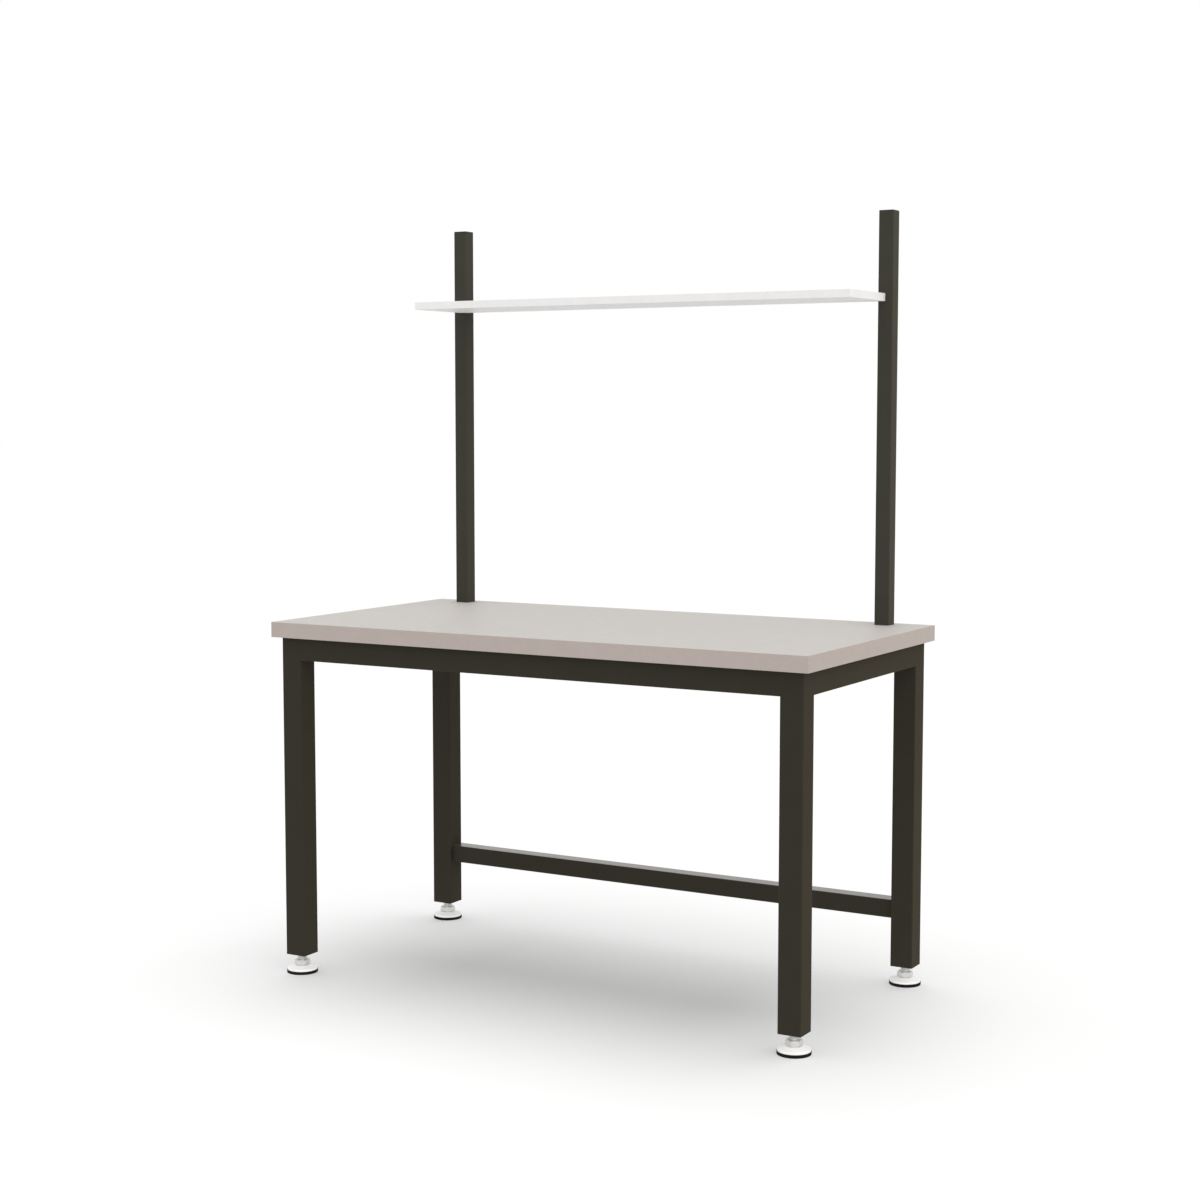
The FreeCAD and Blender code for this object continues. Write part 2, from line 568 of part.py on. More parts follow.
def main():
    """Build every piece and write each one to its own file."""
    nodes = {**worktop(), **frame(), **hold_downs(), **shelf()}
    for name, (sx, sy) in CORNERS.items():
        nodes.update(foot(name, sx * LEG_X, sy * LEG_Y))
    for name, side in SIDES.items():
        nodes.update(post(name, side * POST_X))
    os.makedirs("parts", exist_ok=True)
    for name, shape in nodes.items():
        shape.exportStep("parts/" + name + ".step")
        print(name, len(shape.Solids), "solids", round(shape.Volume / 1000.0, 2), "cm3", shape.isValid())
    print(len(nodes), "nodes")


main()
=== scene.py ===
"""Looks of a workbench with a raised shelf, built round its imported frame.

X runs along the bench, Y from front to back, Z up, and the floor is at zero. The stage and the finishes are
in metres. New pieces are worked out in millimetres and turned to metres as they become meshes.
"""
import math

import bpy
import numpy as np
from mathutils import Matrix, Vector


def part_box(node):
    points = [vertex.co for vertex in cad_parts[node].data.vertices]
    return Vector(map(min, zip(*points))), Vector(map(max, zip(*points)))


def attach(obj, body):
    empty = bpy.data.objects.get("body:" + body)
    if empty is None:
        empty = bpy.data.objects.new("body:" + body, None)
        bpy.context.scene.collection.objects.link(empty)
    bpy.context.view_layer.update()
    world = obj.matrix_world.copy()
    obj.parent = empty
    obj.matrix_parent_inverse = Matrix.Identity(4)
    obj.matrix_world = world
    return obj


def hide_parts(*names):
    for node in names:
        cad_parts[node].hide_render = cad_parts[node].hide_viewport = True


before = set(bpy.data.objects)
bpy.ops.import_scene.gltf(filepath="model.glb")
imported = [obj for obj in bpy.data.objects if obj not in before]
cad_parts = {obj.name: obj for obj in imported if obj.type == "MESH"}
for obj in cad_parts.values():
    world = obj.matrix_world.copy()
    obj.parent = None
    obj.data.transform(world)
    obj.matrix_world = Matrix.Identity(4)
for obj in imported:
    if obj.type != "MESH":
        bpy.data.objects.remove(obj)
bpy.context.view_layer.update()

MM = 0.001
CORNERS = {
    "front_left": (-1, -1),
    "front_right": (1, -1),
    "rear_left": (-1, 1),
    "rear_right": (1, 1),
}
SIDES = {"left": -1, "right": 1}
ALONG_X = (1, 0, 0)
ALONG_Y = (0, 1, 0)
FORWARD = (0, -1, 0)
UP = (0, 0, 1)
DOWN = (0, 0, -1)


def box_mm(name):
    """A node's lowest and highest corners at rest, in millimetres to the nearest thousandth."""
    return np.round(np.array([list(v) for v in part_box(name)]) / MM, 3)


# Node helpers

def tie(tree, socket, value):
    """Gives a socket a plain value, or ties another node's output to it."""
    if isinstance(value, bpy.types.NodeSocket):
        tree.links.new(value, socket)
    else:
        socket.default_value = value


def node(tree, kind, inputs=None, **settings):
    """A new node with its settings made and its inputs given a value or tied to an output."""
    made = tree.nodes.new("ShaderNode" + kind)
    for key, value in settings.items():
        setattr(made, key, value)
    for key, value in (inputs or {}).items():
        tie(tree, made.inputs[key], value)
    return made


def math_node(tree, operation, a, b=0.0):
    """The result of one operation on two values or outputs."""
    return node(tree, "Math", {0: a, 1: b}, operation=operation).outputs[0]


def times(tree, a, b):
    """The product of two values or outputs."""
    return math_node(tree, "MULTIPLY", a, b)


# Camera, floor and light

CAMERA_PLACE = (2.70864, -4.69375, 1.49190)
CAMERA_TILT = 84.83
CAMERA_TURN = 30.0
CAMERA_LENS = 62.756
CAMERA_SENSOR = 36.0
CAMERA_REACH = 200.0
WHITE = (1.0, 1.0, 1.0, 1.0)
WORLD_LEVEL = 1.0
FLOOR_REACH = 60.0
FLOOR_DROP = 0.0003
FLOOR_COLOUR = (0.164, 0.164, 0.164, 1.0)
FLOOR_GLOW = 0.36
FLOOR_BOUNCE = 0.75
FLOOR_LAMP_LEVEL = 3.0
FLOOR_LAMP_SPREAD = 50.0
FLOOR_LAMP_SOURCE = (0.0, 0.075, 1.0)
FOOT_LAMP_LEVEL = 0.22
FOOT_LAMP_SPREAD = 60.0
FOOT_LAMP_SOURCE = (0.45, -0.78, 0.44)
KEY_LEVEL = 0.13
KEY_SPREAD = 60.0
KEY_SOURCE = (0.8, -0.35, 0.49)
KEY_COLOUR = (1.0, 0.8, 0.6)


def add_camera():
    """The camera at the photograph's place, turn and lens."""
    data = bpy.data.cameras.new("camera")
    data.lens = CAMERA_LENS
    data.sensor_width = CAMERA_SENSOR
    data.clip_end = CAMERA_REACH
    camera = bpy.data.objects.new("camera", data)
    camera.location = CAMERA_PLACE
    camera.rotation_euler = (math.radians(CAMERA_TILT), 0.0, math.radians(CAMERA_TURN))
    bpy.context.scene.collection.objects.link(camera)
    bpy.context.scene.camera = camera


def add_world():
    """Even white surroundings, which light the object from every side."""
    world = bpy.data.worlds.new("studio")
    bpy.context.scene.world = world
    world.use_nodes = True
    tree = world.node_tree
    tree.nodes.clear()
    white = node(tree, "Background", {"Color": WHITE, "Strength": WORLD_LEVEL})
    node(tree, "OutputWorld", {"Surface": white.outputs[0]})


def seen_rays(tree):
    """1 for rays from the camera, off gloss or through glass, and 0 for rays that only carry light."""
    path = node(tree, "LightPath").outputs
    seen = math_node(tree, "MAXIMUM", path["Is Camera Ray"], path["Is Glossy Ray"])
    return math_node(tree, "MAXIMUM", seen, path["Is Transmission Ray"])


def add_floor():
    """A wide flat square of pale floor that shows only from above.

    Where it is seen it is white and takes the shadow; to the object it gives back an even light.
    """
    corner = np.array([[-1, -1], [1, -1], [1, 1], [-1, 1]]) * FLOOR_REACH
    points = np.column_stack([corner, np.full(len(corner), -FLOOR_DROP)])
    mesh = bpy.data.meshes.new("floor")
    mesh.from_pydata(points.tolist(), [], [[0, 1, 2, 3]])
    floor = bpy.data.objects.new("floor", mesh)
    bpy.context.scene.collection.objects.link(floor)

    material = bpy.data.materials.new("floor")
    material.use_nodes = True
    material.cycles.emission_sampling = "NONE"
    tree = material.node_tree
    tree.nodes.clear()
    glow = node(tree, "Emission", {"Color": WHITE, "Strength": FLOOR_GLOW})
    matt = node(tree, "BsdfDiffuse", {"Color": FLOOR_COLOUR})
    shown = node(tree, "AddShader", {0: glow.outputs[0], 1: matt.outputs[0]})
    bounce = node(tree, "Emission", {"Color": WHITE, "Strength": FLOOR_BOUNCE})
    upper = node(tree, "MixShader", {0: seen_rays(tree), 1: bounce.outputs[0], 2: shown.outputs[0]})
    clear = node(tree, "BsdfTransparent")
    behind = node(tree, "NewGeometry").outputs["Backfacing"]
    either = node(tree, "MixShader", {0: behind, 1: upper.outputs[0], 2: clear.outputs[0]})
    node(tree, "OutputMaterial", {"Surface": either.outputs[0]})
    mesh.materials.append(material)
    return floor


def add_sun(name, level, spread, source, colour):
    """A broad soft lamp far off in one direction.

    A surface that faces it shows its own colour times the level.
    """
    data = bpy.data.lights.new(name, "SUN")
    data.energy = math.pi * level
    data.angle = math.radians(spread)
    data.color = colour
    lamp = bpy.data.objects.new(name, data)
    lamp.rotation_euler = Vector(source).to_track_quat("Z", "Y").to_euler()
    bpy.context.scene.collection.objects.link(lamp)
    return lamp


def lamp_list(name, objects):
    """A collection of objects for a lamp's light linking."""
    made = bpy.data.collections.new(name)
    for obj in objects:
        made.objects.link(obj)
    return made


def light_floor(floor):
    """A high soft light on the floor alone.

    It passes the stretcher, so that the shadow is only the worktop's and the legs'.
    """
    lamp = add_sun("floor_lamp", FLOOR_LAMP_LEVEL, FLOOR_LAMP_SPREAD, FLOOR_LAMP_SOURCE, WHITE[:3])
    lamp.light_linking.receiver_collection = lamp_list("floor_lamp_lights", [floor])
    passed = lamp_list("floor_lamp_passes", [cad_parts["rear_stretcher"]])
    passed.collection_objects[0].light_linking.link_state = "EXCLUDE"
    lamp.light_linking.blocker_collection = passed


def light_feet(feet):
    """A low soft light on the feet alone, which stand in the bench's own shade."""
    lamp = add_sun("foot_lamp", FOOT_LAMP_LEVEL, FOOT_LAMP_SPREAD, FOOT_LAMP_SOURCE, WHITE[:3])
    lamp.light_linking.receiver_collection = lamp_list("foot_lamp_lights", feet)


add_camera()
add_world()
add_sun("key_lamp", KEY_LEVEL, KEY_SPREAD, KEY_SOURCE, KEY_COLOUR)
light_floor(add_floor())
bpy.context.scene.view_settings.view_transform = "Standard"


# Shared effects, as node groups

NOISE_LOW, NOISE_HIGH = 0.3, 0.7
GRAIN_FINENESS = 6.0
GRAIN_SHARE = 0.1
SCUFF_TURNS = ((0.0, 0.0, 0.5), (0.2, 0.1, -0.9))
SCUFF_STRETCH = (14.0, 700.0, 700.0)
EDGE_LEAST_REACH = 0.4
RING_WOBBLE = 30.0


def group(name, inputs, output):
    """An empty shader node group with named sockets: gives its tree, its inputs and its one output.

    A number for an input is its starting value; an input without one is a vector.
    """
    tree = bpy.data.node_groups.new(name, "ShaderNodeTree")
    for key, value in inputs.items():
        kind = "NodeSocketVector" if value is None else "NodeSocketFloat"
        socket = tree.interface.new_socket(key, in_out="INPUT", socket_type=kind)
        if value is not None:
            socket.default_value = value
    tree.interface.new_socket(output, in_out="OUTPUT", socket_type="NodeSocketFloat")
    entry = tree.nodes.new("NodeGroupInput")
    result = tree.nodes.new("NodeGroupOutput")
    return tree, entry.outputs, result.inputs[output]


def noise(tree, vector, scale, detail, roughness=0.5):
    """Smooth noise with cells 1 / scale across and finer octaves on them."""
    inputs = {"Vector": vector, "Scale": scale, "Detail": detail, "Roughness": roughness}
    return node(tree, "TexNoise", inputs).outputs[0]


def ramp(tree, value, low, high, start=0.0, end=1.0, **settings):
    """Goes from start to end as a value goes from low to high, and stays level outside."""
    inputs = {0: value, "From Min": low, "From Max": high, "To Min": start, "To Max": end}
    return node(tree, "MapRange", inputs, **settings).outputs[0]


def per_metre(tree, size):
    """How many cells of a size go into a metre."""
    return math_node(tree, "DIVIDE", 1.0, size)


def facing_up(tree, start):
    """0 where the normal's upward part is below start, rising to 1 where the surface is level."""
    normal = node(tree, "NewGeometry").outputs["Normal"]
    return ramp(tree, node(tree, "SeparateXYZ", {0: normal}).outputs["Z"], low=start, high=1.0)


def mottle_group():
    """Slow cloudy change from Low to High: three octaves of noise whose cells are Size across."""
    tree, given, result = group("mottle", {"Vector": None, "Size": 0.1, "Low": 0.0, "High": 1.0}, "Value")
    cloud = noise(tree, given["Vector"], per_metre(tree, given["Size"]), detail=3.0, roughness=0.55)
    tree.links.new(ramp(tree, cloud, NOISE_LOW, NOISE_HIGH, given["Low"], given["High"]), result)
    return tree


def peel_group():
    """The skin of a baked coat: soft round dimples Size across, with a tenth of finer grain on them."""
    tree, given, result = group("orange_peel", {"Vector": None, "Size": 0.002}, "Height")
    scale = per_metre(tree, given["Size"])
    inputs = {"Vector": given["Vector"], "Scale": scale, "Smoothness": 0.8}
    dimple = node(tree, "TexVoronoi", inputs, feature="SMOOTH_F1")
    grain = noise(tree, given["Vector"], times(tree, scale, GRAIN_FINENESS), detail=2.0)
    total = math_node(tree, "ADD", dimple.outputs["Distance"], times(tree, grain, GRAIN_SHARE))
    tree.links.new(total, result)
    return tree


def fleck_group():
    """Small flecks: cells Size across, of which a Share, taken at random, are marked."""
    tree, given, result = group("flecks", {"Vector": None, "Size": 0.001, "Share": 0.2}, "Mask")
    cells = node(tree, "TexVoronoi", {"Vector": given["Vector"], "Scale": per_metre(tree, given["Size"])})
    chance = node(tree, "SeparateColor", {0: cells.outputs["Color"]}).outputs[0]
    tree.links.new(math_node(tree, "LESS_THAN", chance, given["Share"]), result)
    return tree


def dust_and_highlight_group():
    """A thin dust on what faces up: the normal's upward part, broken up by cloudy noise.

    On the paint it is partly a painted highlight that lightens the level tops.
    """
    tree, given, result = group("settled_dust_and_highlight", {"Vector": None, "Amount": 0.2}, "Mask")
    cloud = noise(tree, given["Vector"], scale=45.0, detail=4.0, roughness=0.65)
    part = times(tree, facing_up(tree, start=0.5), ramp(tree, cloud, low=0.35, high=0.75))
    tree.links.new(times(tree, part, given["Amount"]), result)
    return tree


def upper_group():
    """How far a surface faces up: 0 up to a slope of 45 degrees, 1 when level, a little uneven."""
    tree, given, result = group("upper_gloss", {"Vector": None, "Amount": 1.0}, "Mask")
    cloud = noise(tree, given["Vector"], scale=30.0, detail=3.0)
    uneven = ramp(tree, cloud, NOISE_LOW, NOISE_HIGH, start=0.92)
    part = times(tree, facing_up(tree, start=0.7), uneven)
    tree.links.new(times(tree, part, given["Amount"]), result)
    return tree


def scuff_group():
    """Fine rubbing marks: noise drawn out along two slanted directions, kept only where it peaks."""
    tree, given, result = group("scuffs", {"Vector": None, "Amount": 0.3}, "Mask")
    marks = []
    for turn in SCUFF_TURNS:
        inputs = {"Vector": given["Vector"], "Rotation": turn, "Scale": SCUFF_STRETCH}
        along = node(tree, "Mapping", inputs).outputs[0]
        streak = noise(tree, along, scale=1.0, detail=2.0)
        marks.append(ramp(tree, streak, low=0.62, high=0.78))
    both = math_node(tree, "MAXIMUM", *marks)
    tree.links.new(times(tree, both, given["Amount"]), result)
    return tree


def edge_group():
    """How near a point on a box is to the box's edges, 1 on them and 0 at about Width.

    The point is folded to the right-hand rear quarter by taking X and Y without their signs. Of its three
    distances to the box's faces the smallest is the face it lies on and the middle one is the edge's. Noise
    makes the width uneven.
    """
    tree, given, result = group(
        "edge_rub", {"Vector": None, "Middle": None, "Half": None, "Width": 0.004}, "Mask")
    apart = node(tree, "SeparateXYZ", {0: given["Vector"]}).outputs
    folded = node(tree, "CombineXYZ", {
        "X": math_node(tree, "ABSOLUTE", apart["X"]),
        "Y": math_node(tree, "ABSOLUTE", apart["Y"]),
        "Z": apart["Z"]})
    off = node(tree, "VectorMath", {0: folded.outputs[0], 1: given["Middle"]}, operation="SUBTRACT")
    size = node(tree, "VectorMath", {0: off.outputs[0]}, operation="ABSOLUTE")
    inside = node(tree, "VectorMath", {0: given["Half"], 1: size.outputs[0]}, operation="SUBTRACT")
    x, y, z = node(tree, "SeparateXYZ", {0: inside.outputs[0]}).outputs
    low = math_node(tree, "MINIMUM", x, y)
    high = math_node(tree, "MAXIMUM", x, y)
    middle = math_node(tree, "MAXIMUM", low, math_node(tree, "MINIMUM", high, z))
    ragged = noise(tree, given["Vector"], scale=60.0, detail=3.0)
    reach = times(tree, given["Width"], math_node(tree, "ADD", ragged, EDGE_LEAST_REACH))
    near = ramp(tree, middle, low=0.0, high=reach, start=1.0, end=0.0, interpolation_type="SMOOTHSTEP")
    tree.links.new(near, result)
    return tree


def turned_group():
    """Fine rings left by a lathe or a die: noise that changes fast along Z and hardly round it."""
    tree, given, result = group("turned_rings", {"Vector": None, "Fineness": 4000.0}, "Height")
    apart = node(tree, "SeparateXYZ", {0: given["Vector"]}).outputs
    line = node(tree, "CombineXYZ", {
        "X": times(tree, apart["X"], RING_WOBBLE),
        "Y": times(tree, apart["Y"], RING_WOBBLE),
        "Z": times(tree, apart["Z"], given["Fineness"])})
    tree.links.new(noise(tree, line.outputs[0], scale=1.0, detail=2.0), result)
    return tree


MOTTLE = mottle_group()
PEEL = peel_group()
FLECKS = fleck_group()
DUST_AND_TOP_HIGHLIGHT = dust_and_highlight_group()
UPPER = upper_group()
SCUFFS = scuff_group()
EDGES = edge_group()
RINGS = turned_group()


# Finishes

class Finish:
    """A material with a Principled shader, object coordinates and short ways to lay effects on it."""

    def __init__(self, name, **sockets):
        self.material = bpy.data.materials.new(name)
        self.material.use_nodes = True
        self.tree = self.material.node_tree
        self.tree.nodes.clear()
        self.skin = node(self.tree, "BsdfPrincipled")
        node(self.tree, "OutputMaterial", {"Surface": self.skin.outputs[0]})
        self.place = node(self.tree, "TexCoord").outputs["Object"]
        self.feed(**sockets)

    def feed(self, **sockets):
        """Gives the shader's sockets a value or an output; underscores in a name stand for spaces."""
        for key, value in sockets.items():
            tie(self.tree, self.skin.inputs[key.replace("_", " ")], value)

    def effect(self, tree, **inputs):
        """A shared effect on object coordinates, with its own values; gives back its only output."""
        made = node(self.tree, "Group", node_tree=tree)
        for key, value in {"Vector": self.place, **inputs}.items():
            tie(self.tree, made.inputs[key], value)
        return made.outputs[0]

    def mix(self, factor, first, second):
        """A colour that goes from the first to the second with a mask."""
        first, second = ((*c, 1.0) if isinstance(c, tuple) else c for c in (first, second))
        return node(self.tree, "Mix", {0: factor, 6: first, 7: second}, data_type="RGBA").outputs[2]

    def clouded(self, size, first, second):
        """A colour that drifts between two others in clouds of a size."""
        return self.mix(self.effect(MOTTLE, Size=size), first, second)

    def scuffed(self, rough, amount):
        """A roughness with rubbing marks added to it."""
        return math_node(self.tree, "ADD", rough, self.effect(SCUFFS, Amount=amount))

    def bump(self, height, depth):
        """Raises the surface by a height whose unit is depth, in metres."""
        made = node(self.tree, "Bump", {"Height": height, "Distance": depth, "Strength": 1.0})
        self.feed(Normal=made.outputs[0])


FRAME_PAINT = (0.0338, 0.0325, 0.0246)
# The frame's paint made lighter and paler for the posts: painted light for the brighter reflection they
# catch
POST_PAINT_LIT_LIGHTER = (0.0466, 0.0464, 0.038)
FRAME_SPECULAR = 0.003
POST_SPECULAR = 0.01
PAINT_GLOSS = (1.0, 0.7, 0.45, 1.0)
PAINT_SHEEN = 0.08
PAINT_SHEEN_COLOUR = (1.0, 0.68, 0.4, 1.0)
PAINT_SHEEN_ROUGHNESS = 0.5
PAINT_CLOUD = (0.96, 1.04)
GLOSS_ROUGHNESS = 0.2
GLOSS_IOR = 1.6
PEEL_SIZE = 0.0018
PEEL_DEPTH = 0.00003
# Painted shade and light on the peel: how much the pits are painted darker and the crests lighter
PAINTED_PEEL_SHADE_SHARE = 0.5
PAINTED_PEEL_LIGHT = 1.35
EDGE_WIDTH = 0.004
EDGE_SHARE = 0.25
EDGE_LIGHT = 1.5
EDGE_OPEN_HALF = 0.8
# A pale grey for dust; on the paint it is partly a painted highlight on the tops
DUST_AND_HIGHLIGHT_GREY = (0.32, 0.31, 0.29)
# The top's own laminate grey, made lighter and paler than the edging's as painted light for its reflection
TOP_GREY_LIT_LIGHTER = (0.582, 0.557, 0.531)
EDGING_GREY = (0.483, 0.429, 0.394)
BACKING_BROWN = (0.50, 0.445, 0.37)
SHELF_WHITE = (0.875, 0.875, 0.872)
SHELF_EDGING_WHITE = (0.91, 0.91, 0.91)
LAMINATE_CLOUD = (0.99, 1.03)
LAMINATE_FLECK = 0.9
LAMINATE_FLECK_SHARE = 0.55
LAMINATE_UNEVEN = 0.015
LAMINATE_DEPTH = 0.000012
CHIP_BROWN = (0.34, 0.22, 0.12)
CHIP_TAN = (0.5, 0.37, 0.23)
CHIP_STRAW = (0.58, 0.46, 0.3)
CHIP_BARK = (0.2, 0.11, 0.055)
CHIP_DEPTH = 0.0002
ZINC_BLUE = (0.63, 0.64, 0.64)
ZINC_STRAW = (0.69, 0.685, 0.66)
ZINC_FLECK = (0.57, 0.58, 0.585)
ZINC_DEPTH = 0.00003
NYLON_SHADE = (0.85, 0.85, 0.84)
NYLON_WHITE = (0.87, 0.87, 0.865)
NYLON_DUST = (0.6, 0.58, 0.55)
NYLON_DEPTH = 0.00001
RUBBER_BLACK = (0.004, 0.004, 0.004)
RUBBER_BLOOM = (0.008, 0.008, 0.0075)
CAP_BLACK = (0.016, 0.016, 0.0155)
CAP_BLOOM = (0.021, 0.021, 0.02)
MOULDING_SMOOTHER = 0.07
MOULDING_ROUGHER = 0.06


def shade(colour, factor):
    """A colour made lighter or darker by a factor."""
    return tuple(c * factor for c in colour)


def edge_box(name, run=None):
    """A node's middle and half size in metres for the edge effect.

    Along its run, where one is given, the half is made far longer, so that the node's ends aren't rubbed.
    """
    low, high = box_mm(name) * MM
    half = (high - low) / 2
    if run is not None:
        half[run] = EDGE_OPEN_HALF
    return {"Middle": ((low + high) / 2).tolist(), "Half": half.tolist()}


def paint(name, colour=FRAME_PAINT, edges=None, specular=FRAME_SPECULAR):
    """Baked dark olive grey coat: orange peel, faint clouding, dust on top, thinner colour along the edges.

    The peel's pits are painted darker as shade and its crests lighter as light. The dust on top is partly
    a painted highlight on the level tops. It has a brown sheen at low angles, and on level upper faces it
    has flowed out to a smooth gloss.
    """
    finish = Finish(
        name, Specular_IOR_Level=specular, Specular_Tint=PAINT_GLOSS,
        Sheen_Weight=PAINT_SHEEN, Sheen_Tint=PAINT_SHEEN_COLOUR, Sheen_Roughness=PAINT_SHEEN_ROUGHNESS,
        Coat_Roughness=GLOSS_ROUGHNESS, Coat_IOR=GLOSS_IOR)
    base = finish.clouded(0.05, *(shade(colour, factor) for factor in PAINT_CLOUD))
    peel = finish.effect(PEEL, Size=PEEL_SIZE)
    # Painted shade and light: the peel's pits are painted darker and its crests lighter
    base = finish.mix(times(finish.tree, peel, PAINTED_PEEL_SHADE_SHARE), base, shade(colour, PAINTED_PEEL_LIGHT))
    if edges is not None:
        rub = finish.effect(EDGES, Width=EDGE_WIDTH, **edges)
        base = finish.mix(times(finish.tree, rub, EDGE_SHARE), base, shade(colour, EDGE_LIGHT))
    # Dust on what faces up: partly real dust, partly a painted highlight that lightens the level tops
    base = finish.mix(finish.effect(DUST_AND_TOP_HIGHLIGHT, Amount=0.08), base, DUST_AND_HIGHLIGHT_GREY)
    rough = finish.effect(MOTTLE, Size=0.16, Low=0.34, High=0.42)
    gloss = finish.effect(UPPER, Amount=1.0)
    finish.feed(Base_Color=base, Roughness=finish.scuffed(rough, amount=0.08), Coat_Weight=gloss)
    finish.bump(peel, PEEL_DEPTH)
    return finish.material


def laminate(name, colour, roughness, specular):
    """Pressed laminate or its edging: fine flecks over a faint cloud, a pebbled skin and wiping marks."""
    finish = Finish(name, Specular_IOR_Level=specular)
    base = finish.clouded(0.03, *(shade(colour, factor) for factor in LAMINATE_CLOUD))
    flecks = times(finish.tree, finish.effect(FLECKS, Size=0.0011, Share=0.3), LAMINATE_FLECK_SHARE)
    base = finish.mix(flecks, base, shade(colour, LAMINATE_FLECK))
    rough = finish.effect(
        MOTTLE, Size=0.04, Low=roughness - LAMINATE_UNEVEN, High=roughness + LAMINATE_UNEVEN)
    finish.feed(Base_Color=base, Roughness=finish.scuffed(rough, amount=0.03))
    finish.bump(finish.effect(PEEL, Size=0.0008), LAMINATE_DEPTH)
    return finish.material


def chipboard(name):
    """Pressed wood chips: two sizes of random flecks from pale straw to brown."""
    finish = Finish(name, Specular_IOR_Level=0.2)
    base = finish.clouded(0.004, CHIP_BROWN, CHIP_TAN)
    base = finish.mix(finish.effect(FLECKS, Size=0.003, Share=0.25), base, CHIP_STRAW)
    base = finish.mix(finish.effect(FLECKS, Size=0.0017, Share=0.12), base, CHIP_BARK)
    finish.feed(Base_Color=base, Roughness=finish.effect(MOTTLE, Size=0.01, Low=0.75, High=0.95))
    finish.bump(finish.effect(MOTTLE, Size=0.002), CHIP_DEPTH)
    return finish.material


def zinc(name):
    """Zinc plate over turned or rolled steel: straw and blue clouds, lathe rings, pale bloom in patches."""
    finish = Finish(name)
    base = finish.clouded(0.02, ZINC_BLUE, ZINC_STRAW)
    base = finish.mix(finish.effect(FLECKS, Size=0.0012, Share=0.06), base, ZINC_FLECK)
    rough = finish.effect(MOTTLE, Size=0.012, Low=0.28, High=0.42)
    bare = finish.effect(MOTTLE, Size=0.017, Low=0.5, High=0.75)
    finish.feed(Base_Color=base, Roughness=rough, Metallic=bare)
    finish.bump(finish.effect(RINGS, Fineness=4200.0), ZINC_DEPTH)
    return finish.material


def nylon(name):
    """White moulded nylon: a slight warm cloud, a fine spark-eroded skin and a little dust."""
    finish = Finish(name)
    base = finish.clouded(0.03, NYLON_SHADE, NYLON_WHITE)
    base = finish.mix(finish.effect(DUST_AND_TOP_HIGHLIGHT, Amount=0.06), base, NYLON_DUST)
    finish.feed(Base_Color=base, Roughness=finish.effect(MOTTLE, Size=0.02, Low=0.33, High=0.43))
    finish.bump(finish.effect(PEEL, Size=0.0005), NYLON_DEPTH)
    return finish.material


def dark_moulding(name, colour, bloom, roughness, specular, grain, depth):
    """Black rubber or plastic: a pale bloom in patches over a moulded grain."""
    finish = Finish(name, Specular_IOR_Level=specular)
    base = finish.clouded(0.015, colour, bloom)
    base = finish.mix(finish.effect(DUST_AND_TOP_HIGHLIGHT, Amount=0.12), base, DUST_AND_HIGHLIGHT_GREY)
    rough = finish.effect(
        MOTTLE, Size=0.01, Low=roughness - MOULDING_SMOOTHER, High=roughness + MOULDING_ROUGHER)
    finish.feed(Base_Color=base, Roughness=rough)
    finish.bump(finish.effect(PEEL, Size=grain), depth)
    return finish.material


FINISHES = {
    "leg": paint("paint_leg", edges=edge_box("leg_rear_right")),
    "long_rail": paint("paint_long_rail", edges=edge_box("rail_rear", run=0)),
    "short_rail": paint("paint_short_rail", edges=edge_box("rail_right", run=1)),
    "stretcher": paint("paint_stretcher", edges=edge_box("rear_stretcher", run=0)),
    # The posts get a lighter, paler copy of the paint, as painted light
    "post": paint("paint_post", POST_PAINT_LIT_LIGHTER, edge_box("post_right", run=2), POST_SPECULAR),
    "small_paint": paint("paint_small_parts"),
    # The top's grey is partly painted light: lighter and paler than the edging for the reflection it catches
    "top": laminate("grey_laminate", TOP_GREY_LIT_LIGHTER, roughness=0.55, specular=0.2),
    "edging": laminate("grey_edging", EDGING_GREY, roughness=0.45, specular=0.08),
    "backing": laminate("brown_backing", BACKING_BROWN, roughness=0.6, specular=0.5),
    "shelf": laminate("white_melamine", SHELF_WHITE, roughness=0.5, specular=0.2),
    "shelf_edging": laminate("white_edging", SHELF_EDGING_WHITE, roughness=0.5, specular=0.2),
    "core": chipboard("chipboard"),
    "zinc": zinc("zinc_plate"),
    "nylon": nylon("white_nylon"),
    "rubber": dark_moulding(
        "black_rubber", RUBBER_BLACK, RUBBER_BLOOM,
        roughness=0.7, specular=0.1, grain=0.0009, depth=0.00004),
    "cap": dark_moulding(
        "black_cap", CAP_BLACK, CAP_BLOOM,
        roughness=0.5, specular=0.3, grain=0.0007, depth=0.00002),
}
FINISHED_NODES = {
    "leg": ("leg_",),
    "long_rail": ("rail_front", "rail_rear"),
    "short_rail": ("rail_left", "rail_right"),
    "stretcher": ("rear_stretcher",),
    "post": ("post_left", "post_right"),
    "small_paint": ("shelf_crossbar", "worktop_brackets", "frame_welds", "bracket_welds", "crossbar_welds"),
    "top": ("worktop_laminate",),
    "edging": ("edge_band_",),
    "backing": ("worktop_backer",),
    "shelf": ("shelf_board",),
    "shelf_edging": ("shelf_band_",),
    "core": ("worktop_core",),
    "zinc": (
        "post_plug_", "post_washer_", "post_bolt_", "rail_sleeve_", "worktop_screws", "shelf_screws",
        "shelf_rods", "foot_socket_", "foot_spindle_"),
    "nylon": ("foot_base_",),
    "rubber": ("foot_pad_",),
    "cap": ("post_cap_",),
}


def finish_nodes():
    """Gives every node of the frame its finish, by what its name starts with."""
    for name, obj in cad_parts.items():
        key = next(k for k, starts in FINISHED_NODES.items() if name.startswith(starts))
        obj.data.materials.clear()
        obj.data.materials.append(FINISHES[key])


finish_nodes()


# Surfaces

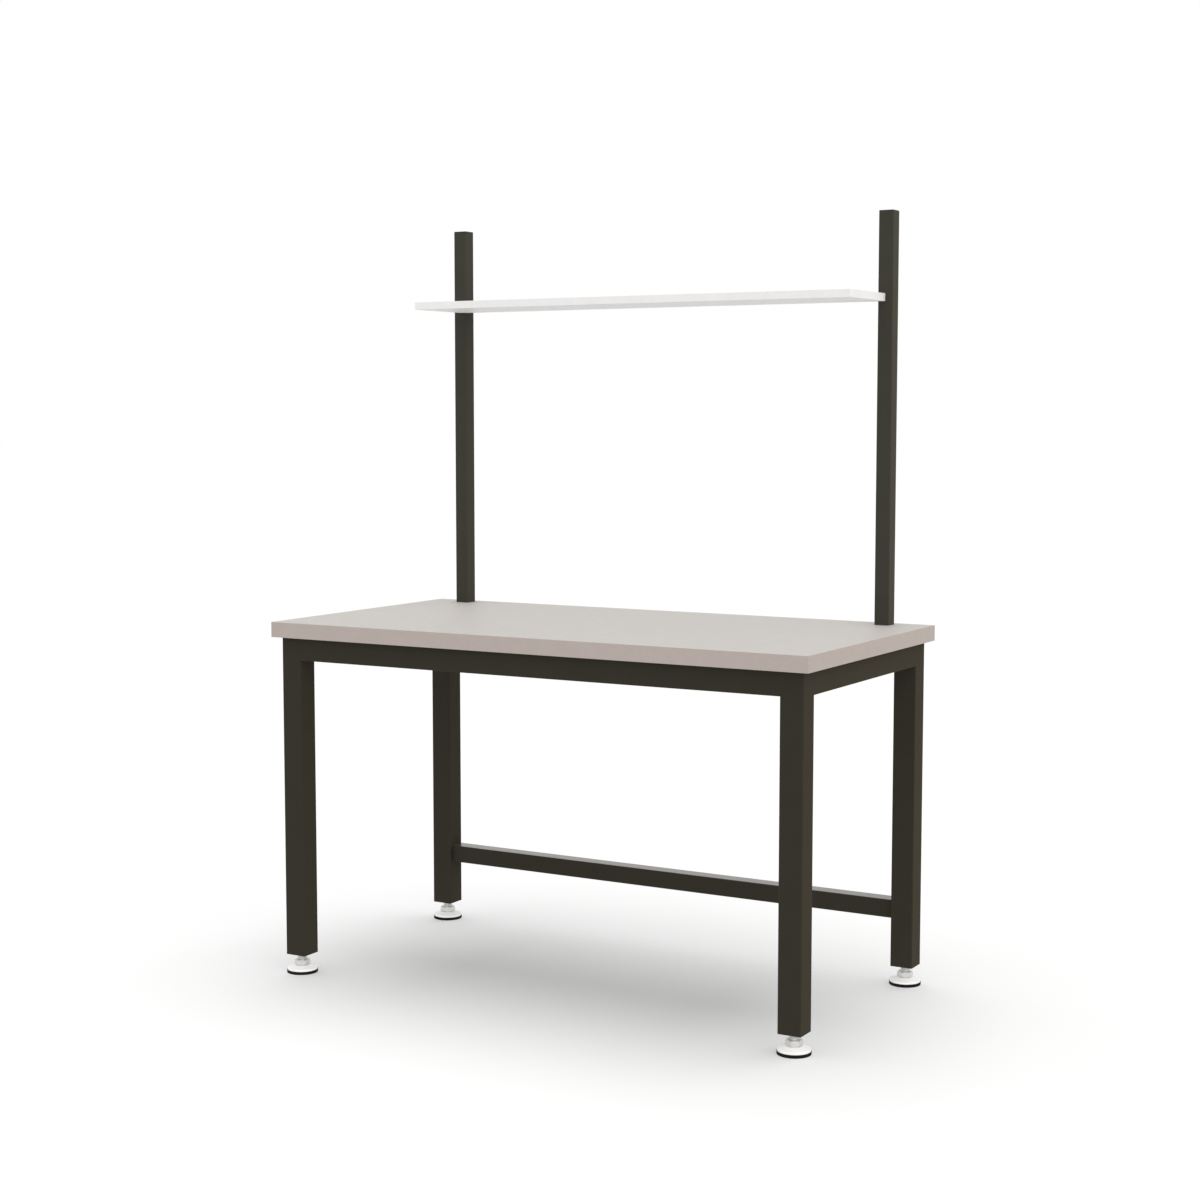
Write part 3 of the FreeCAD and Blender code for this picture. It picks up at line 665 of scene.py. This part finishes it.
ROUNDING_STEPS = 5
TURNED_SLOPE = math.tan(math.radians(30))
TURNED_FACE = 0.95
TURNED_CORNER = 0.99
THREAD_ROOT = 0.25
THREAD_CREST = 0.125
SHARP_ANGLE = 32.0


def rows(x, y, z):
    """Rows of three from three numbers or arrays."""
    return np.stack(np.broadcast_arrays(x, y, z), axis=-1)


def axes(first, second, along):
    """Turning matrices whose columns are two legs and the run.

    The run's sign is set so that nothing is mirrored, and one direction may stand for all the rows.
    """
    columns = np.stack(np.broadcast_arrays(first, second, along), axis=-1).astype(float)
    columns[..., 2] *= np.sign(np.linalg.det(columns))[:, None]
    return columns


def rounded_profile(outline):
    """A line of (radius, height) corners, each inner one rounded by the third number of its row.

    A corner is left out, and a parabola that touches both its sides at that distance takes its place.
    """
    corners, cuts = outline[:, :2], outline[1:-1, 2:]
    here = corners[1:-1]
    sides = np.stack([corners[:-2], corners[2:]]) - here
    sides /= np.linalg.norm(sides, axis=2, keepdims=True)
    start, end = (here + sides * cuts)[:, :, None]
    t = np.linspace(0, 1, ROUNDING_STEPS)[:, None]
    arcs = (1 - t) ** 2 * start + 2 * t * (1 - t) * here[:, None] + t ** 2 * end
    return np.concatenate([corners[:1], arcs.reshape(-1, 2), corners[-1:]])


def hexagon_radius(angle, flats):
    """A hexagon's distance from middle to outline: half the flats over the cosine from the nearest flat.

    The flats face along X and every sixth of a turn from there.
    """
    return flats / 2 / np.cos((angle + math.pi / 6) % (math.pi / 3) - math.pi / 6)


def hexagon_sizes(flats):
    """A hexagon's radius at its corners, the radius of its turned faces, and how far its corners drop."""
    corner, face = flats / math.sqrt(3), TURNED_FACE * flats / 2
    return corner, face, (corner - face) * TURNED_SLOPE


def turned_hexagon(radius, height, angle, flats, way):
    """Draws rings at a hexagon's corners in to its outline and gives the new radii and heights.

    Where way is -1 or 1 the corners are turned off below or above by a cone of 30 degrees. A ring moves that
    way by the tangent of 30 degrees times what it was drawn in, so the cone meets each flat in an arc.
    """
    corner = hexagon_sizes(flats)[0]
    wide = radius > TURNED_CORNER * corner
    outline = hexagon_radius(angle, flats)
    move = way * (corner - outline) * TURNED_SLOPE
    return np.where(wide, outline, radius), np.where(wide, height + move, height)


def thread(radius, height, angle, pitch, depth, low, high):
    """Cuts a right-hand thread into a stem: the radius falls by depth where the helix is between crests.

    The helix's phase is height / pitch less the angle's share of a turn. The groove has a flat crest of an
    eighth of the pitch, straight flanks and a flat root of a quarter. It fades in over one pitch from low
    and from high, and nothing is cut outside them.
    """
    phase = (height / pitch - angle / (2 * math.pi)) % 1.0
    flank = (np.abs(2 * phase - 1) - THREAD_ROOT) / (1 - THREAD_ROOT - THREAD_CREST)
    fade = np.clip(np.minimum(height - low, high - height) / pitch, 0, 1)
    return radius - depth * (1 - np.clip(flank, 0, 1)) * fade


def column(radius, low, high, step):
    """The side of a stem as evenly spaced (radius, height) points."""
    height = np.linspace(low, high, int(round((high - low) / step)) + 1)
    return np.column_stack([np.full(len(height), radius), height])


def closed(rings, ends):
    """The points, quads and triangles of a closed surface made of rings of points and a point at each end.

    Quads join each ring to the next, and fans of triangles join the first and last rings to the end points.
    """
    m, n = rings.shape[:2]
    here = np.arange(m * n).reshape(m, n)
    ahead = np.roll(here, -1, axis=1)
    quads = np.stack([here[:-1], ahead[:-1], ahead[1:], here[1:]], axis=-1).reshape(-1, 4)
    first = np.stack([np.full(n, m * n), ahead[0], here[0]], axis=-1)
    last = np.stack([np.full(n, m * n + 1), here[-1], ahead[-1]], axis=-1)
    return np.concatenate([rings.reshape(-1, 3), ends]), quads, np.concatenate([first, last])


def skin(profile, count, shape=None):
    """A closed surface turned about Z from a (radius, height) profile that starts and ends on the axis.

    Point (i, j) is at angle 2 pi j / count, at the profile's radius i and height i; a shape may change the
    radii and heights, given the grids of radius, height and angle.
    """
    angle = np.arange(count) * 2 * math.pi / count
    radius, height, angle = np.broadcast_arrays(profile[1:-1, 0, None], profile[1:-1, 1, None], angle)
    if shape is not None:
        radius, height = shape(radius, height, angle)
    rings = np.stack([radius * np.cos(angle), radius * np.sin(angle), height], axis=-1)
    return closed(rings, np.array([[0, 0, profile[0, 1]], [0, 0, profile[-1, 1]]]))


def copies(surface, turns, places):
    """Several copies of one surface: each point is turned by its copy's matrix, then moved to the place.

    One matrix may stand for all the copies.
    """
    points, quads, tris = surface
    places = np.asarray(places, float)
    turns = np.broadcast_to(np.asarray(turns, float), (len(places), 3, 3))
    moved = np.einsum("kab,nb->kna", turns, points) + places[:, None]
    step = np.arange(len(places))[:, None, None] * len(points)
    return moved.reshape(-1, 3), (quads + step).reshape(-1, 4), (tris + step).reshape(-1, 3)


def joined(*surfaces):
    """Several surfaces as one: their points in a row, and their faces counted on from one to the next."""
    starts = np.cumsum([0] + [len(points) for points, quads, tris in surfaces])
    return (
        np.concatenate([points for points, quads, tris in surfaces]),
        np.concatenate([quads + start for (points, quads, tris), start in zip(surfaces, starts)]),
        np.concatenate([tris + start for (points, quads, tris), start in zip(surfaces, starts)]))


def piece(name, surface, finish, body, stands_for):
    """A new piece in millimetres made a mesh, shaded smooth but for sharp edges, riding for a CAD node."""
    points, quads, tris = surface
    mesh = bpy.data.meshes.new(name)
    mesh.from_pydata((points * MM).tolist(), [], quads.tolist() + tris.tolist())
    mesh.polygons.foreach_set("use_smooth", np.ones(len(mesh.polygons), bool))
    mesh.set_sharp_from_angle(angle=math.radians(SHARP_ANGLE))
    mesh.materials.append(FINISHES[finish])
    obj = bpy.data.objects.new(name, mesh)
    bpy.context.scene.collection.objects.link(obj)
    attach(obj, body)
    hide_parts(stands_for)
    return obj


# Levelling feet

FOOT_STEPS = 96
PAD_RADIUS = 41.0
PAD_TOP = 8.0
PAD_LIP = 1.0
PAD_FLOOR = 5.0
GROOVE_COUNT = 5
GROOVE_START = 8.0
GROOVE_STEP = 6.0
GROOVE_WIDTH = 3.0
GROOVE_SLANT = 0.3
GROOVE_DEPTH = 0.8
GROOVE_ROUNDING = 0.12
BASE_RADIUS = 39.9
BASE_RIM = 13.5
BASE_TOP = 20.0
HUB_RADIUS = 22.0
CONE_SAG = 0.5
CONE_STEPS = 8
CONE_ROUNDING = 0.2
PIVOT = np.array([[8.0, 20.0], [8.0, 13.7], [8.6, 13.1], [8.6, 11.6], [8.0, 11.0]])
BORE_GAP = 0.1
BORE_FLOOR = 10.5
BORE_ROUNDINGS = (0.4, 0.1, 0.1, 0.1, 0.1)
COLLAR_TOP = 35.0
COLLAR_FLATS = 36.0
NECK_RADIUS = 10.6
NECK_HEIGHT = 1.2
STEM_RADIUS = 12.0
STEM_START = 2.0
STEM_TOP = 120.0
STEM_CHAMFER = 2.0
STEM_PITCH = 3.0
STEM_DEPTH = 1.6
STEM_STEPS_PER_TURN = 10


def pad_skin():
    """Rubber pad: a shallow cup whose underside has concentric square grooves between flat lands.

    The rows are radius, height and rounding.
    """
    across = np.array([0.0, GROOVE_SLANT, GROOVE_WIDTH - GROOVE_SLANT, GROOVE_WIDTH])
    starts = GROOVE_START + GROOVE_STEP * np.arange(GROOVE_COUNT)
    grooves = rows(starts[:, None] + across, [0.0, GROOVE_DEPTH, GROOVE_DEPTH, 0.0], GROOVE_ROUNDING)
    cup = [
        [PAD_RADIUS, 0, 1.0],
        [PAD_RADIUS, PAD_TOP, 0.45],
        [PAD_RADIUS - PAD_LIP, PAD_TOP, 0.35],
        [PAD_RADIUS - PAD_LIP, PAD_FLOOR, 0.2],
        [0, PAD_FLOOR, 0]]
    return skin(rounded_profile(np.concatenate([[[0, 0, 0]], grooves.reshape(-1, 3), cup])), FOOT_STEPS)


def base_skin():
    """Moulded foot: an upright rim, a slightly hollow cone up to the hub, and a bore with a snap groove.

    The cone is a straight line less half a sine wave. The rows are radius, height and rounding.
    """
    t = np.linspace(0, 1, CONE_STEPS + 1)[1:-1]
    cone = np.column_stack([
        BASE_RADIUS + (HUB_RADIUS - BASE_RADIUS) * t,
        BASE_RIM + (BASE_TOP - BASE_RIM) * t - CONE_SAG * np.sin(math.pi * t),
        np.full(len(t), CONE_ROUNDING)])
    bore = np.column_stack([PIVOT + [BORE_GAP, 0], BORE_ROUNDINGS])
    outline = np.concatenate([
        [[0, PAD_FLOOR, 0], [BASE_RADIUS, PAD_FLOOR, 0.4], [BASE_RADIUS, BASE_RIM, 1.3]],
        cone, [[HUB_RADIUS, BASE_TOP, 1.0]], bore,
        [[bore[-1, 0], BORE_FLOOR, 0.1], [0, BORE_FLOOR, 0]]])
    return skin(rounded_profile(outline), FOOT_STEPS)


def spindle_skin():
    """Foot spindle: snap pivot, hex collar with turned corners, a neck and a coarse threaded stem."""
    corner, face, drop = hexagon_sizes(COLLAR_FLATS)
    low, high = COLLAR_TOP + STEM_START, STEM_TOP - STEM_CHAMFER
    profile = np.concatenate([
        [[0, PIVOT[-1, 1]]], PIVOT[::-1],
        [[face, BASE_TOP], [corner, BASE_TOP + drop], [corner, COLLAR_TOP - drop], [face, COLLAR_TOP]],
        [[NECK_RADIUS, COLLAR_TOP], [NECK_RADIUS, COLLAR_TOP + NECK_HEIGHT]],
        column(STEM_RADIUS, low, high, STEM_PITCH / STEM_STEPS_PER_TURN),
        [[STEM_RADIUS - STEM_CHAMFER, STEM_TOP], [0, STEM_TOP]]])

    def shape(radius, height, angle):
        """The stem gets its thread, and the collar its hexagon, turned off below and above its middle."""
        way = np.sign(height - (BASE_TOP + COLLAR_TOP) / 2)
        radius = thread(radius, height, angle, STEM_PITCH, STEM_DEPTH, low, high)
        return turned_hexagon(radius, height, angle, COLLAR_FLATS, way)

    return skin(profile, FOOT_STEPS, shape)


def add_feet():
    """The four levelling feet, each on its own two bodies; gives back all their pieces."""
    parts = {
        "pad_": (pad_skin(), "rubber", "foot_", "foot_rubber"),
        "base_": (base_skin(), "nylon", "foot_", "foot_nylon"),
        "spindle_": (spindle_skin(), "zinc", "spindle_", "zinc_steel"),
    }
    leg_x, leg_y = box_mm("leg_rear_right").mean(axis=0)[:2]
    made = []
    for corner, (sx, sy) in CORNERS.items():
        for name, (surface, finish, body, slot) in parts.items():
            placed = copies(surface, np.eye(3), [(sx * leg_x, sy * leg_y, 0)])
            made.append(piece(name + corner, placed, finish, body + corner, "foot_" + name + corner))
    return made


# Screws and bolts

FASTENER_STEPS = 48
FASTENER_STEPS_PER_TURN = 8
SCREW_HEAD = 0.7
SCREW_RECESS = np.array([[0, 0.35], [0.308, 0.35], [0.35, 0.15], [0.35, 0], [0.371, 0], [0.5, 0]])
SCREW_LOBE = 0.125
SCREW_LOBE_REACH = 0.385
SCREW_DOME = 0.45
SCREW_DOME_STEPS = 6
SCREW_NECK = 0.6
SCREW_TIP = 0.1
SCREW_THREAD = 0.16
BOLT_FACE = 0.7
BOLT_CHAMFER = 1.0
BOLT_THREAD = 0.6
BRACKET_WALL = 3.0
BRACKET_WIDTH = 40.0
BRACKET_HOLE_INSET = 18.0
BRACKET_END_DISTANCE = 240.0
SHELF_SCREW_STEP = 1000.0 / 3
SCREW_FORWARD = ((1, 0, 0), (0, 0, -1), (0, 1, 0))


def screw_skin(diameter, length, pitch):
    """A wood screw along +Z from its head's seat at zero: six-lobed recess, domed head, coarse thread.

    Its head, recess, neck and tip are in diameters. The recess's outline is a circle whose radius swells
    and shrinks by an eighth, six times round. The dome's radius goes as a sine, its height as a cosine.
    """
    top = -SCREW_HEAD * diameter
    t = np.linspace(0, math.pi / 2, SCREW_DOME_STEPS + 1)[1:]
    dome = np.column_stack([diameter * (1 - SCREW_DOME * (1 - np.sin(t))), top * np.cos(t)])
    low, high = SCREW_NECK * diameter, length - diameter
    profile = np.concatenate([
        SCREW_RECESS * diameter + [0, top], dome, [[diameter / 2, 0]],
        column(diameter / 2, low, high, pitch / FASTENER_STEPS_PER_TURN),
        [[SCREW_TIP * diameter, length], [0, length]]])

    def shape(radius, height, angle):
        """The stem gets its thread, and the recess in the head its lobes."""
        lobed = (radius < SCREW_LOBE_REACH * diameter) & (height <= 0)
        swell = np.where(lobed, 1 + SCREW_LOBE * np.cos(6 * angle), 1.0)
        return thread(radius, height, angle, pitch, SCREW_THREAD * diameter, low, high) * swell, height

    return skin(profile, FASTENER_STEPS, shape)


def bolt_skin(diameter, flats, head, length, pitch, threaded):
    """A hex bolt along +Z from under its head at zero: turned corners, a washer face and a threaded end."""
    shank = diameter / 2
    corner, face, drop = hexagon_sizes(flats)
    low, high = length - threaded, length - BOLT_CHAMFER
    profile = np.concatenate([
        [[0, -head], [face, -head], [corner, drop - head], [corner, -BOLT_FACE], [face, -BOLT_FACE]],
        [[face, 0], [shank, 0]],
        column(shank, low, high, pitch / FASTENER_STEPS_PER_TURN),
        [[shank - BOLT_CHAMFER, length], [0, length]]])

    def shape(radius, height, angle):
        """The stem gets its thread, and the head its hexagon, turned off below only."""
        way = np.where(height < -BOLT_FACE, -1, 0)
        radius = thread(radius, height, angle, pitch, BOLT_THREAD * pitch, low, high)
        return turned_hexagon(radius, height, angle, flats, way)

    return skin(profile, FASTENER_STEPS, shape)


def bracket_places():
    """Where the worktop's brackets meet the rails' inner faces, and which way is inward there, as rows.

    There are three on each long rail and one on each short rail.
    """
    inner_x, inner_y = box_mm("leg_rear_right")[0, :2]
    reach = inner_x - BRACKET_END_DISTANCE
    long_rails = [((x, s * inner_y, 0), (0, -s, 0)) for s in (-1, 1) for x in (-reach, 0, reach)]
    short_rails = [((s * inner_x, 0, 0), (-s, 0, 0)) for s in (-1, 1)]
    feet, inward = zip(*long_rails, *short_rails)
    return np.array(feet, float), np.array(inward, float)


def add_fasteners():
    """The screws under the worktop, those behind the shelf, and the bolts that hold the posts."""
    feet, inward = bracket_places()
    seat = box_mm("rail_rear")[1, 2] - BRACKET_WALL
    screws = copies(
        screw_skin(diameter=6.0, length=30.0, pitch=2.6), np.eye(3),
        feet + inward * BRACKET_HOLE_INSET + [0, 0, seat])
    piece("worktop_screw_set", screws, "zinc", "bench", "worktop_screws")

    bar = box_mm("shelf_crossbar")
    screws = copies(
        screw_skin(diameter=5.0, length=60.0, pitch=2.2), SCREW_FORWARD,
        [(step * SHELF_SCREW_STEP, bar[1, 1], bar[:, 2].mean()) for step in (-1, 0, 1)])
    piece("shelf_screw_set", screws, "zinc", "bench", "shelf_screws")

    bolt = bolt_skin(diameter=12.0, flats=18.0, head=7.5, length=130.0, pitch=1.75, threaded=40.0)
    post_x, post_y = box_mm("post_right").mean(axis=0)[:2]
    washer_low = box_mm("post_washer_right")[0, 2]
    for side, sx in SIDES.items():
        placed = copies(bolt, np.eye(3), [(sx * post_x, post_y, washer_low)])
        piece("bolt_" + side, placed, "zinc", "bench", "post_bolt_" + side)


# Welds

RAIL_BEAD = {"length": 48.0, "size": 4.0, "ripple": 2.4}
STRETCHER_BEAD = {"length": 36.0, "size": 4.0, "ripple": 2.4}
BRACKET_BEAD = {"length": 20.0, "size": 2.5, "ripple": 1.8}
CROSSBAR_BEAD = {"length": 12.0, "size": 2.5, "ripple": 1.6}
RAIL_FILL = {"length": 57.0, "radius": 3.0, "gap": 0.05}
STRETCHER_FILL = {"length": 45.0, "radius": 3.0, "gap": 0.05}
BRACKET_BEAD_DROP = 15.0
BEAD_LEAST_ROWS = 24
BEAD_ROWS_PER_RIPPLE = 8
BEAD_STEPS_ACROSS = 8
BEAD_BULGE = 0.16
BEAD_RIPPLE = 0.05
BEAD_BOW = 0.6
BEAD_TIP = 0.02
FILL_STEPS = 8
TOLERANCE = 1e-9


def bead_skin(length, size, ripple):
    """A fillet weld in the corner of two faces, along +Z about zero, its legs along +X and +Y.

    Across, the face is an arc from the end of one leg to the end of the other that bulges past the straight
    line. Along, the bulge rises and falls with overlapping ripples: a saw-toothed wave whose fronts bow
    forward in the middle of the face. Both ends shrink as the square root of the distance to the end.
    """
    rows_along = max(BEAD_LEAST_ROWS, int(round(length / ripple * BEAD_ROWS_PER_RIPPLE)))
    t = np.linspace(-1, 1, rows_along)[:, None]
    s = np.linspace(0, 1, BEAD_STEPS_ACROSS + 1)
    z = t * length / 2
    end = size * np.clip((1 - np.abs(t)) * length / (2 * size), BEAD_TIP, 1) ** 0.5
    bow = 1 - (2 * s - 1) ** 2
    wave = (z / ripple - BEAD_BOW * bow) % 1.0
    bulge = (BEAD_BULGE + BEAD_RIPPLE * (1 - wave) ** 2) * bow
    face = rows(end * (1 - s + bulge), end * (s + bulge), z)
    rings = np.concatenate([rows(0, 0, z), face], axis=1)
    return closed(rings, np.stack([rings[0].mean(axis=0), rings[-1].mean(axis=0)]))


def fill_skin(length, radius, gap):
    """A ground weld along +Z about zero that fills the groove beside a tube's rounded corner.

    Its outline is a square corner with its outer sides along +X and +Y, less a quarter circle about the far
    end. Each end is a fan of triangles from the square corner.
    """
    turn = np.linspace(0, math.pi / 2, FILL_STEPS + 1)
    hollow = radius - (radius + gap) * np.column_stack([np.sin(turn), np.cos(turn)])
    outline = np.concatenate([[[0, 0], [radius, 0]], hollow[::-1][1:-1], [[0, radius]]])
    outline = outline[(outline >= -TOLERANCE).all(axis=1)]
    n = len(outline)
    rings = rows(outline[:, 0], outline[:, 1], np.array([[-1], [1]]) * length / 2)
    here = np.arange(2 * n).reshape(2, n)
    ahead = np.roll(here, -1, axis=1)
    quads = np.stack([here[0], ahead[0], ahead[1], here[1]], axis=-1)
    fan = np.arange(1, n - 1)
    low = rows(0, fan + 1, fan)
    high = rows(n, n + fan, n + fan + 1)
    return rings.reshape(-1, 3), quads, np.concatenate([low, high])


def frame_welds():
    """Beads under the rails and the stretcher at the legs, and ground fills in the grooves beside them."""
    sx, sy = np.array(list(CORNERS.values()), float).T
    side = np.array(list(SIDES.values()), float)
    inner, outer = box_mm("leg_rear_right")
    leg_x, leg_y = (inner + outer)[:2] / 2
    rail_low, rail_high = box_mm("rail_rear")[:, 2]
    rail_middle = (rail_low + rail_high) / 2
    bar_low, bar_high = box_mm("rear_stretcher")
    bar_middle = (bar_low + bar_high) / 2
    bead, fill = bead_skin(**RAIL_BEAD), fill_skin(**RAIL_FILL)
    made = [
        copies(bead, axes(rows(-sx, 0, 0), DOWN, ALONG_Y), rows(sx * inner[0], sy * leg_y, rail_low)),
        copies(bead, axes(rows(0, -sy, 0), DOWN, ALONG_X), rows(sx * leg_x, sy * inner[1], rail_low)),
        copies(
            bead_skin(**STRETCHER_BEAD), axes(rows(-side, 0, 0), DOWN, ALONG_Y),
            rows(side * inner[0], bar_middle[1], bar_low[2])),
    ]
    for a, b, x, y in (
            (1, -1, inner[0], outer[1]), (-1, 1, outer[0], inner[1]), (1, 1, inner[0], inner[1])):
        turns = axes(rows(a * sx, 0, 0), rows(0, b * sy, 0), UP)
        made.append(copies(fill, turns, rows(sx * x, sy * y, rail_middle)))
    made.append(copies(
        fill_skin(**STRETCHER_FILL), axes(rows(side, 0, 0), FORWARD, UP),
        rows(side * inner[0], bar_high[1], bar_middle[2])))
    return joined(*made)


def bracket_welds():
    """A bead up each side of each bracket."""
    feet, inward = (np.repeat(v, 2, axis=0) for v in bracket_places())
    away = np.cross(UP, inward) * np.resize([-1.0, 1.0], len(feet))[:, None]
    middle = box_mm("rail_rear")[1, 2] - BRACKET_BEAD_DROP
    places = feet + away * BRACKET_WIDTH / 2 + [0, 0, middle]
    return copies(bead_skin(**BRACKET_BEAD), axes(away, inward, UP), places)


def crossbar_welds():
    """A bead above and below each end of the shelf's crossbar, against the posts."""
    end, face = np.array([(a, b) for a in (-1.0, 1.0) for b in (-1.0, 1.0)]).T
    low, high = box_mm("shelf_crossbar")
    middle, half = (low + high) / 2, (high - low) / 2
    places = rows(end * half[0], middle[1], middle[2] + face * half[2])
    return copies(bead_skin(**CROSSBAR_BEAD), axes(rows(-end, 0, 0), rows(0, 0, face), ALONG_Y), places)


def add_welds():
    """The welds of the frame, the worktop's brackets and the shelf's crossbar."""
    piece("frame_weld_set", frame_welds(), "small_paint", "bench", "frame_welds")
    piece("bracket_weld_set", bracket_welds(), "small_paint", "bench", "bracket_welds")
    piece("crossbar_weld_set", crossbar_welds(), "small_paint", "bench", "crossbar_welds")


feet = add_feet()
add_fasteners()
add_welds()
light_feet(feet)
